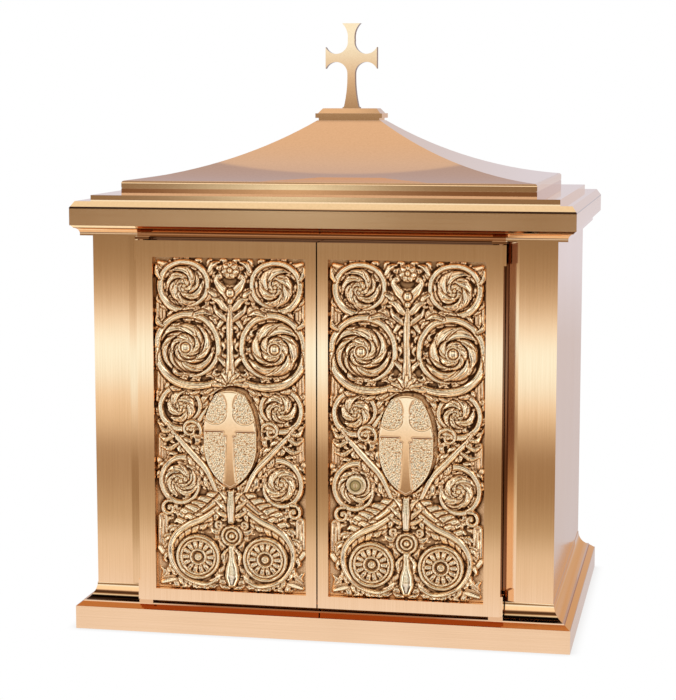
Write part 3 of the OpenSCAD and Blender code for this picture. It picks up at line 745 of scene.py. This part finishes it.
def centre_line(r):
    """All that stands on the panel's middle line, from the top down."""
    # blossom, lily, bud and stem
    boss(r, 0.5, 173, 9.5, 3.4, edge=0.5)
    for k in range(7):
        a = math.radians(90 + 360 * k / 7)
        ca, sa = math.cos(a), math.sin(a)
        stroke(r, [(0.5 + 2.5 * ca, 173 + 2.5 * sa), (0.5 + 8.5 * ca, 173 + 8.5 * sa)],
               [1.6, 3.0, 1.6], [4.4, 5.2, 3.6], "leaf", gap=0.3)
    boss(r, 0.5, 173, 3.2, 5.8)
    for s in (-1, 1):
        for points, widths, heights in (
                ([(1, 136), (4, 146), (11, 154), (16, 162), (14, 168)], [2.4, 4.4, 5.2, 3.4, 1.0],
                 [4.2, 5.0, 4.8, 3.4]),
                ([(1, 128), (7, 132), (13, 139), (20, 141)], [2.2, 4.0, 3.6, 1.2], [4.2, 4.8, 4.4, 3.0]),
                ([(2, 116), (8, 121), (16, 128), (18, 134)], [2.0, 3.2, 2.8, 0.9], [4.0, 4.6, 4.2, 2.8])):
            stroke(r, flip(s, points), widths, heights, "leaf", tilt=0.25 * s, gap=0.3)
    boss(r, 0.5, 148, 5.2, 5.4)
    boss(r, 0.5, 139, 3.6, 5.2)
    stroke(r, [(0, 60), (0, 80), (-0.5, 100), (0, 118), (0.5, 133)],
           [5.0, 3.6, 3.0, 3.6, 2.0], [4.8, 4.4, 4.2, 4.4, 3.8], "channel")
    # palmette over the shield
    for k in range(-3, 4):
        a = math.radians(90 - 26 * k)
        ca, sa = math.cos(a), math.sin(a)
        long = 17.5 - 1.2 * abs(k)
        stroke(r, [(2 * ca, 44 + 2 * sa), (long * 0.6 * ca, 44 + long * 0.6 * sa),
                   (long * ca + 2.0 * k, 44 + long * sa - 0.6 * abs(k))],
               [1.8, 3.2, 2.0], [4.4, 5.4, 4.2], "leaf", tilt=0.25 * ((k > 0) - (k < 0)), gap=0.3)
    boss(r, 0, 43.5, 4.4, 5.8)
    # calyx under the shield's point, then a fan of leaves
    for s in (-1, 1):
        for a, b, c, w in (((1, -97), (5, -84), (13, -75), 3.4), ((1, -100), (9, -92), (19, -84), 3.2),
                           ((1, -103), (9, -101), (19, -96), 3.0)):
            stroke(r, flip(s, [a, b, c]), scaled((0.7, 1, 0.35), w), [5.4, 5.8, 4.2], "leaf",
                   tilt=0.28 * s, gap=0.3)
    stroke(r, [(0, -108), (0, -92), (0, -74)], [3.6, 5.0, 3.2], [5.8, 6.2, 5.2], "leaf", gap=0.3, flutes=3)
    # rosette under the fan
    boss(r, 0.5, -124.5, 12.0, 3.4, edge=0.9)
    ring(r, 0.5, -124.5, 10.6, 1.6, 5.4)
    dish(r, 0.5, -124.5, 8.8, 1.8)
    ring(r, 0.5, -124.5, 6.0, 1.4, 4.6)
    boss(r, 0.5, -124.5, 3.4, 5.6)
    # little vase
    stroke(r, [(0.5, v) for v in (-138, -146, -158, -170, -179)], [4.2, 3.6, 4.6, 7.2, 8.0, 5.0],
           [5.2, 5.4, 5.8, 6.2, 5.8], "round", gap=0.3, edge=0.35)
    for s in (-1, 1):
        tips(r, s, [[(4, -140), (9, -147), (8, -158)]], [1.4, 2.6, 0.9], [4.2, 4.4, 3.0])


def fillers(r):
    """Small tendrils in what room is left."""
    spots = ((30, 168, 6), (22, 113, 6), (83, 128, 4), (40, 50, 5), (30, 4, 6), (27, 34, 5), (83, 96, 4),
             (82, -60, 4), (48, -95, 6), (14, -112, 5), (20, -168, 5), (82, 22, 4))
    for k, (u, v, size) in enumerate(spots):
        start = 70 * k
        for s in (-1, 1):
            stroke(r, spiral(s * u, v, size, size * 0.25, start if s > 0 else 180 - start, s * 330, 12),
                   scaled((0.22, 0.34, 0.3, 0.16), size), [2.6, 3.4, 3.2, 2.8], "round", gap=0.5)


def cast_panel():
    """The whole relief. What is laid later stands over what is laid before."""
    r = Relief(PANEL_W, PANEL_H, CELL)
    undergrowth(r, 11.0, 72.0, 5)
    fillers(r)
    for layer in ((corners, border_fingers, top_volutes, small_volutes, middle_volutes, lower_volutes,
                   side_stems), (great_leaves,), (wheels,)):
        for s in (-1, 1):
            for part in layer:
                part(r, s)
    centre_line(r)
    return r


def blur(a, n):
    """A field blurred n times over its four neighbours."""
    for _ in range(n):
        p = np.pad(a, 1, mode="edge")
        a = (p[:-2, 1:-1] + p[2:, 1:-1] + p[1:-1, :-2] + p[1:-1, 2:] + 2 * a) / 6
    return a


# ---------------------------------------------------------------- pieces
def node_box(name):
    lo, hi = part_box(name)
    return np.array(lo, float), np.array(hi, float)


def new_piece(name, verts, faces, slot, body, replaced, cavity=None):
    me = bpy.data.meshes.new(name)
    me.from_pydata([tuple(v) for v in verts], [], faces)
    me.update()
    if cavity is not None:
        a = me.color_attributes.new("cavity", "FLOAT_COLOR", "POINT")
        data = np.repeat(cavity.astype(np.float32)[:, None], 4, axis=1)
        data[:, 3] = 1.0
        a.data.foreach_set("color", data.ravel())
    o = bpy.data.objects.new(name, me)
    scene.collection.objects.link(o)
    me.materials.append(M[slot])
    for p in me.polygons:
        p.use_smooth = True
    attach(o, body)
    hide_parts(replaced)


def grid_slab(rows, cols, front, back_y):
    """Faces and extra vertices that close a grid of front points into a solid."""
    n = rows * cols
    faces = []
    for j in range(rows - 1):
        for i in range(cols - 1):
            a = j * cols + i
            faces.append((a, a + 1, a + cols + 1, a + cols))
    rim = list(range(cols)) + [j * cols + cols - 1 for j in range(1, rows)]
    rim += [(rows - 1) * cols + i for i in range(cols - 2, -1, -1)]
    rim += [j * cols for j in range(rows - 2, 0, -1)]
    back = [(front[k][0], back_y, front[k][2]) for k in rim]
    m = len(rim)
    for k in range(m):
        faces.append((rim[(k + 1) % m], rim[k], n + k, n + (k + 1) % m))
    mid = np.mean(np.array(back), axis=0)
    back.append(tuple(mid))
    for k in range(m):
        faces.append((n + (k + 1) % m, n + k, n + m))
    return faces, back


GROUND_Y = -0.197          # deepest ground of the casting
EMBLEM = (0.0, -12.0)       # middle of the shield on the panel, millimetres


def shield_reach(angle):
    """Distance from the shield's middle to its outline, for each angle.

    The outline's flanks are arcs of radius 54 below and 80 above, and its head is one of radius 30.
    """
    lo, hi = np.zeros_like(angle), np.full_like(angle, 80.0)
    for _ in range(30):
        mid = (lo + hi) / 2
        u, v = mid * np.cos(angle), mid * np.sin(angle)
        lower = np.where(v > -10, 30.0, np.sqrt(np.maximum(54.0 ** 2 - (v + 10) ** 2, 0)) - 24.0)
        upper = np.sqrt(np.maximum(80.0 ** 2 - (v - 3) ** 2, 0)) - 50.0
        head = np.where(v > 22.3, np.sqrt(np.maximum(30.0 ** 2 - (v - 22.3) ** 2, 0)), 40.0)
        half = np.where(v <= 3, lower, np.minimum(upper, head))
        half = np.where(v > 22.3 + 30.0, -1.0, half)
        inside = np.abs(u) < half
        lo = np.where(inside, mid, lo)
        hi = np.where(inside, hi, mid)
    return lo


def panel_piece(side, lock):
    node = side + "_panel"
    lo, hi = node_box(node)
    cx, cz = (lo[0] + hi[0]) / 2, (lo[2] + hi[2]) / 2
    r = cast_panel()
    if lock:
        # a flat seat for the lock's head
        boss(r, LOCK_SPOT[0], LOCK_SPOT[1], 11.0, 4.7, edge=0.97, gap=0.25)
    # the shield sits in a hollow of its own outline
    du, dv = r.u - EMBLEM[0], r.v - EMBLEM[1]
    q = np.hypot(du, dv) / np.maximum(shield_reach(np.arctan2(dv, du)), 1e-6)
    wide = 0.05 + 0.13 * np.clip(np.cos(np.arctan2(dv, du) - 0.35), 0, 1)
    hollow = np.clip((q - 0.97 - wide) / 0.05, 0, 1)
    r.h = np.where(q < 1.02 + wide, np.minimum(r.h, 0.3 + 5.7 * hollow), r.h)
    # a plain margin, so that nothing touches the frame at full height
    edge = np.minimum(PANEL_W / 2 - np.abs(r.u), PANEL_H / 2 - np.abs(r.v))
    r.h = r.h * np.clip(edge / 1.6, 0, 1) ** 0.6
    smooth = blur(r.h, 26)
    # what stands over its surroundings is polished; the casting is also made lighter and smoother towards its
    # foot and a little darker and duller towards its head
    foot = np.clip((-40.0 - r.v) / 90.0, 0, 1) - 0.35 * np.clip((r.v - 20.0) / 90.0, 0, 1)
    cavity = np.clip(0.447 + 0.08 * foot + (r.h - smooth) * 0.27 + (r.h - 2.6) * 0.045, 0, 1)
    rows, cols = r.h.shape
    x = cx + r.u * MM
    z = cz + r.v * MM
    y = GROUND_Y - r.h * MM
    front = np.stack([x, y, z], -1).reshape(-1, 3)
    faces, back = grid_slab(rows, cols, front, hi[1])
    verts = np.vstack([front, np.array(back)])
    cav = np.concatenate([cavity.ravel(), np.zeros(len(back))])
    new_piece(side + "_relief", verts, faces, "bronze_cast", side + "_door", node, cav)


def pebbles(u, v, pitch, seed):
    """Round grains: the height of the nearest of many jittered domes, from 0 to 1."""
    rng = np.random.RandomState(seed)
    wide, high = 70, 112
    best = np.full(u.shape, 9.0)
    for j in range(int(high / (0.87 * pitch)) + 2):
        for i in range(int(wide / pitch) + 2):
            pu = -wide / 2 + (i + 0.5 * (j % 2)) * pitch + rng.uniform(-0.3, 0.3) * pitch
            pv = -high / 2 + j * pitch * 0.87 + rng.uniform(-0.3, 0.3) * pitch
            best = np.minimum(best, (u - pu) ** 2 + (v - pv) ** 2)
    return np.sqrt(np.clip(1 - best / (0.62 * pitch) ** 2, 0, 1))


def shield_piece(side):
    node = side + "_shield"
    lo, hi = node_box(node)
    panel_lo, panel_hi = node_box(side + "_panel")
    foot = GROUND_Y + 0.4 * MM
    cx = (lo[0] + hi[0]) / 2
    cz = (panel_lo[2] + panel_hi[2]) / 2 + EMBLEM[1] * MM
    around, rings = 520, 72
    angle = np.linspace(0, 2 * math.pi, around, endpoint=False)
    reach = shield_reach(angle)
    s = np.linspace(1, 0, rings + 1)[:-1] ** 0.8
    u = s[:, None] * (reach * np.cos(angle))[None]
    v = s[:, None] * (reach * np.sin(angle))[None]
    from_edge = (1 - s[:, None]) * reach[None]
    grain = pebbles(u, v, 2.3, 11)
    rim = np.exp(-((from_edge - 0.9) / 0.8) ** 2)
    level = np.where(from_edge < 2.0, 0.35 + 1.2 * rim, 0.1 + 1.1 * grain) + 0.9 * (1 - s[:, None])
    level = np.where(s[:, None] > 0.999, 0.0, level)
    y = lo[1] + 0.0009 - level * MM
    front = np.stack([cx + u * MM, y, cz + v * MM], -1).reshape(-1, 3)
    verts = [tuple(p) for p in front] + [(cx, y.min() + 0.0002, cz)]
    mid = len(verts) - 1
    faces = []
    for j in range(rings - 1):
        for i in range(around):
            k = (i + 1) % around
            faces.append((j * around + k, j * around + i, (j + 1) * around + i, (j + 1) * around + k))
    last = (rings - 1) * around
    for i in range(around):
        faces.append((last + (i + 1) % around, last + i, mid))
    base = len(verts)
    verts += [(p[0], foot, p[2]) for p in front[:around]]
    for i in range(around):
        k = (i + 1) % around
        faces.append((i, k, base + k, base + i))
    verts.append((cx, foot, cz))
    for i in range(around):
        faces.append((base + i, base + (i + 1) % around, len(verts) - 1))
    bright = np.clip(0.2 + 0.7 * grain + np.where(from_edge < 2.0, 0.6, 0), 0, 1)
    cav = np.concatenate([bright.ravel(), [0.5], np.zeros(around + 1)])
    new_piece(side + "_emblem", verts, faces, "bronze_cast", side + "_door", node, cav)


def front_outline(name):
    """The edges round the front face of a node, as points in x and z (metres)."""
    me = nodes[name].data
    count = {}
    for p in me.polygons:
        if p.normal[1] < -0.9:
            for e in p.edge_keys:
                count[e] = count.get(e, 0) + 1
    co = np.array([tuple(v.co) for v in me.vertices])
    keys = [e for e, n in count.items() if n == 1]
    a = np.array([co[e[0]] for e in keys])[:, [0, 2]]
    b = np.array([co[e[1]] for e in keys])[:, [0, 2]]
    return a, b


def inset(a, b, x, z):
    """Distance inside an outline (negative outside), and the nearest outline point."""
    best = np.full(x.shape, 1e9)
    near_x, near_z = np.zeros_like(x), np.zeros_like(z)
    crossings = np.zeros(x.shape, int)
    for (ax, az), (bx, bz) in zip(a, b):
        dx, dz = bx - ax, bz - az
        t = np.clip(((x - ax) * dx + (z - az) * dz) / max(dx * dx + dz * dz, 1e-18), 0, 1)
        px, pz = ax + t * dx, az + t * dz
        d = np.hypot(x - px, z - pz)
        m = d < best
        best, near_x, near_z = np.where(m, d, best), np.where(m, px, near_x), np.where(m, pz, near_z)
        if abs(dz) > 1e-12:
            hit = ((az > z) != (bz > z)) & (x < ax + (z - az) * dx / dz)
            crossings += hit
    return np.where(crossings % 2 == 1, best, -best), near_x, near_z


def domed_cross(side):
    """The raised cross on a shield: the node's own outline with a rounded top."""
    node = side + "_shield_cross"
    lo, hi = node_box(node)
    a, b = front_outline(node)
    cell = 0.55 * MM
    x, z = np.meshgrid(*[np.arange(lo[k] - cell, hi[k] + 2 * cell, cell) for k in (0, 2)])
    d, nx, nz = inset(a, b, x, z)
    snap = np.abs(d) < 0.62 * cell
    x, z, d = np.where(snap, nx, x), np.where(snap, nz, z), np.where(snap, 0.0, d)
    rise = hi[1] - lo[1]
    t = np.clip(d / (2.6 * MM), 0, 1)
    lean = (z - lo[2]) / (hi[2] - lo[2])
    y = hi[1] - rise * ((0.45 + 0.55 * np.sqrt(1 - (1 - t) ** 2)) * (1 - 0.62 * lean) + 0.05)
    keep = (d[:-1, :-1] >= 0) & (d[:-1, 1:] >= 0) & (d[1:, :-1] >= 0) & (d[1:, 1:] >= 0)
    cols = x.shape[1]
    quads = [(j * cols + i, j * cols + i + 1, (j + 1) * cols + i + 1, (j + 1) * cols + i)
             for j, i in np.argwhere(keep)]
    used = sorted({k for q in quads for k in q})
    at = {k: n for n, k in enumerate(used)}
    front = np.stack([x.ravel(), y.ravel(), z.ravel()], 1)[used]
    rear = front.copy()
    rear[:, 1] = hi[1]
    n = len(used)
    faces = [tuple(at[k] for k in q) for q in quads]
    edges = {}
    for f in faces:
        for k in range(4):
            edges[(f[k], f[(k + 1) % 4])] = True
    walls = [(q, p, p + n, q + n) for p, q in edges if (q, p) not in edges]
    faces += [tuple(k + n for k in reversed(f)) for f in faces] + walls
    new_piece(side + "_domed_cross", np.vstack([front, rear]), faces, "bronze_polished", side + "_door", node)


lock_lo, lock_hi = node_box("lock_cylinder")
pan_lo, pan_hi = node_box("right_panel")
# the lock's place from the panel's centre, in millimetres
LOCK_SPOT = ((lock_lo + lock_hi) - (pan_lo + pan_hi))[[0, 2]] / 2 / MM
for side in ("left", "right"):
    panel_piece(side, side == "right")
    shield_piece(side)
    domed_cross(side)


# The roof is too dull to mirror what stands on it
for n in ("top_cross", "cap_tier", "cap_plate", "cap_neck", "cross_stud", "cross_nut"):
    nodes[n].visible_glossy = False


# ---------------------------------------------------------------- stage
def floor_mat():
    """A white floor that stays white, with a faint contact shade under the object."""
    m, nt, glow = new_mat("pale floor", "Emission")
    ao = nt.nodes.new("ShaderNodeAmbientOcclusion")
    ao.inputs["Distance"].default_value = 0.014
    ao.samples = 8
    shade = ramp(nt, ao.outputs["AO"], [(0.3, (0.8, 0.78, 0.77)), (0.95, (1.0, 1.0, 1.0))])
    nt.links.new(shade, glow.inputs[0])
    return m


floor_mesh = bpy.data.meshes.new("floor")
floor_mesh.from_pydata([(-6, -7, 0), (6, -7, 0), (6, 6, 0), (-6, 6, 0)], [], [(0, 1, 2, 3)])
floor_mesh.materials.append(floor_mat())
floor = bpy.data.objects.new("floor", floor_mesh)
scene.collection.objects.link(floor)
floor.visible_glossy = False
floor.visible_diffuse = False

# The studio: strips of light and dark that run left to right, placed by their
# angle about the X axis (0 is level in front, 90 is straight up, 180 is level behind).
SKY = (1.1, 1.35, 1.5)            # the pale blue where the low and high strips meet
WHITE = (1.0, 0.98, 1.02)           # the strip that the foot of the front sees
AMBER = (0.95, 0.62, 0.3)          # the strip straight above
UNDER = (1.15, 1.2, 1.1)          # what faces that look down towards the rear see
LOW = [
    (-90, (1.0, 0.8, 0.6)), (-60, (0.95, 0.7, 0.48)), (-37, (0.95, 0.8, 0.62)),
    (-31, (0.1, 0.06, 0.04)), (-24, (0.1, 0.06, 0.04)), (-18, WHITE), (-15.2, WHITE),
    (-14.2, (0.92, 0.84, 0.76)), (-13.4, (0.84, 0.76, 0.66)), (-12.8, (0.58, 0.48, 0.34)),
    (-11.7, (0.4, 0.29, 0.18)), (-10.6, (0.38, 0.27, 0.17)), (-9.9, (0.62, 0.51, 0.38)),
    (-9.2, (0.98, 0.9, 0.78)), (-8.4, (1.1, 1.3, 1.42)), (-7.5, (1.14, 1.44, 1.64)),
    (-6.8, (1.08, 1.1, 1.08)), (-6.1, (0.74, 0.63, 0.5)), (-5.3, (0.47, 0.36, 0.24)),
    (-4.5, (0.36, 0.26, 0.16)), (-3.6, (0.31, 0.23, 0.15)), (-1.2, (0.28, 0.2, 0.12)),
    (-0.4, (0.42, 0.33, 0.24)), (0.6, (0.8, 0.7, 0.58)), (1.6, SKY),
]
HIGH = [
    (1.6, SKY), (12.0, (1.15, 1.08, 0.92)), (30.0, (1.2, 1.05, 0.86)), (39.0, (0.16, 0.08, 0.04)),
    (50.0, (0.05, 0.03, 0.02)), (57.0, (0.3, 0.16, 0.08)), (62.5, (0.96, 0.92, 0.76)),
    (69.0, (1.02, 1.02, 0.9)), (72.5, (0.2, 0.13, 0.1)), (77.0, (0.03, 0.02, 0.02)),
    (87.4, (0.03, 0.02, 0.02)), (88.4, AMBER), (90.0, AMBER),
]
REAR = [
    (90, AMBER), (91, (0.05, 0.04, 0.04)), (93.5, (0.05, 0.04, 0.04)), (96, (0.86, 0.71, 0.6)),
    (112, (0.83, 0.69, 0.59)), (132, (0.76, 0.66, 0.63)), (160, (0.6, 0.52, 0.55)),
    (173, (0.7, 0.65, 0.68)), (177, (0.74, 0.7, 0.76)), (182, (0.72, 0.66, 0.68)),
    (184.5, (0.79, 0.77, 0.86)), (187.0, (0.68, 0.62, 0.64)), (193.0, (0.66, 0.61, 0.63)),
    (205, (0.74, 0.58, 0.46)), (240, (0.8, 0.6, 0.45)), (262, UNDER), (270, UNDER),
]
# Soft boxes and dark flags in turn at the two sides: their middle in degrees
# aside, how bright they are, and half their width.
BOXES = [(-60, 0.08, 5), (-47, 2.5, 5), (-37, 0.07, 4.5), (13.5, 0.06, 3.6), (43, 2.5, 5), (57, 0.08, 5)]

world = bpy.data.worlds.new("studio")
scene.world = world
wn, backdrop = empty_tree(world, "World", "Background")
light = None                        # the studio's colour so far, as a socket


def hill(value, centre, half):
    """A soft bump of height 1 around a centre."""
    d = calc(wn, "DIVIDE", calc(wn, "SUBTRACT", value, centre), half)
    return calc(wn, "EXPONENT", times(wn, d, d, -1.0))


def ease(value, low, high):
    """0 up to the low end, 1 from the high end on."""
    return maprange(wn, value, low, high, curve="SMOOTHSTEP")


def band(value, low0, low1, high0, high1):
    """1 between two ends, with an ease at each."""
    return calc(wn, "SUBTRACT", ease(value, low0, low1), ease(value, high0, high1))


def outside(a):
    return calc(wn, "SUBTRACT", 1.0, a)


def cover(color, *masks):
    """Cover what there is with a colour, as far as the product of the masks says."""
    global light
    light = mix_rgb(wn, times(wn, *masks), light, color)


def strips(stops):
    """The colour of a row of strips, blended between neighbouring angles."""
    low, high = stops[0][0], stops[-1][0]
    along = calc(wn, "DIVIDE", calc(wn, "SUBTRACT", turn, low), high - low)
    return ramp(wn, along, [((at - low) / (high - low), color) for at, color in stops])


# a direction's degrees of turn, from -90 to 270, and its degrees aside, to the right of the middle
right, back, up = (component(wn, "Generated", axis) for axis in range(3))
turn = times(wn, calc(wn, "ARCTAN2", up, times(wn, back, -1.0)), 180.0 / math.pi)
turn = calc(wn, "ADD", turn, times(wn, calc(wn, "LESS_THAN", turn, -90.0), 360.0))
aside = times(wn, calc(wn, "ARCSINE", right), 180.0 / math.pi)

light = strips(LOW)
cover(strips(HIGH), calc(wn, "GREATER_THAN", turn, float(HIGH[0][0])))
cover(strips(REAR), calc(wn, "GREATER_THAN", turn, float(REAR[0][0])))
# towards the left the strips are a little lighter below the bright one
cover((1.0, 0.9, 0.76), hill(turn, -9.6, 0.8), outside(ease(aside, -11.5, -7.0)), 0.5)
cover((1.0, 0.9, 0.76), hill(turn, -12.0, 2.0), outside(ease(aside, -16.4, -13.4)), 0.17)
# a bright window low in front of the plinth, and its glow on the fascia
cover((1.14, 1.28, 1.2), hill(turn, -2.78, 0.36), hill(aside, -12.6, 2.7))
cover((1.2, 1.2, 1.1), hill(turn, -3.5, 0.9), hill(aside, -12.0, 3.6), 0.15)
# the lower roof reflects a darker backdrop, with a curved upper edge
off = calc(wn, "ADD", aside, 11.0)
edge = calc(wn, "SUBTRACT", 144.0, times(wn, off, off, 1.1))
past = calc(wn, "SUBTRACT", turn, edge)
cover((0.53, 0.48, 0.55), ease(past, 0.0, 4.0), band(turn, 108.0, 124.0, 160.0, 172.0))
# a warm card beside the base on the right, and light on the sloping edge of the cap
cover((0.68, 0.45, 0.27), hill(aside, 13.5, 4.0), ease(turn, 150.0, 160.0))
cover((0.98, 0.82, 0.66), hill(turn, 83.0, 6.0), hill(aside, -11.3, 2.6))
# a brown table edge below, in front of the doors
cover((0.3, 0.18, 0.11), band(aside, -16.6, -15.2, -6.3, -5.6), band(turn, -88.0, -80.0, -36.0, -31.0))
in_front = times(wn, outside(ease(turn, 88.0, 125.0)), 0.95)
for at, bright, half in BOXES:
    cover((bright, bright, bright * 0.97), hill(aside, float(at), float(half)), in_front)
# a pale wall at either end, and a brown patch on the right
cover((0.92, 0.86, 0.8), ease(calc(wn, "ABSOLUTE", aside), 58.0, 74.0))
cover((0.19, 0.11, 0.11), hill(aside, 28.5, 5.0), ease(turn, -14.0, -11.0))
# the camera itself sees plain white
path = wn.nodes.new("ShaderNodeLightPath")
cover((1.0, 1.0, 1.0), path.outputs["Is Camera Ray"])
wn.links.new(light, backdrop.inputs[0])
backdrop.inputs[1].default_value = 1.0

# ---------------------------------------------------------------- camera
cam_data = bpy.data.cameras.new("cam")
cam = bpy.data.objects.new("cam", cam_data)
scene.collection.objects.link(cam)
scene.camera = cam
cam_data.sensor_fit = "HORIZONTAL"
cam_data.sensor_width = 36.0
cam_data.lens = 103.965
cam_data.clip_end = 50
cam.location = (0.4301, -2.2711, 0.5991)
yaw, pitch = math.radians(11.126), math.radians(7.371)      # turned to the left, and down
ahead = Vector((-math.sin(yaw) * math.cos(pitch), math.cos(yaw) * math.cos(pitch), -math.sin(pitch)))
cam.rotation_mode = "XYZ"
cam.rotation_euler = ahead.to_track_quat("-Z", "Y").to_euler()
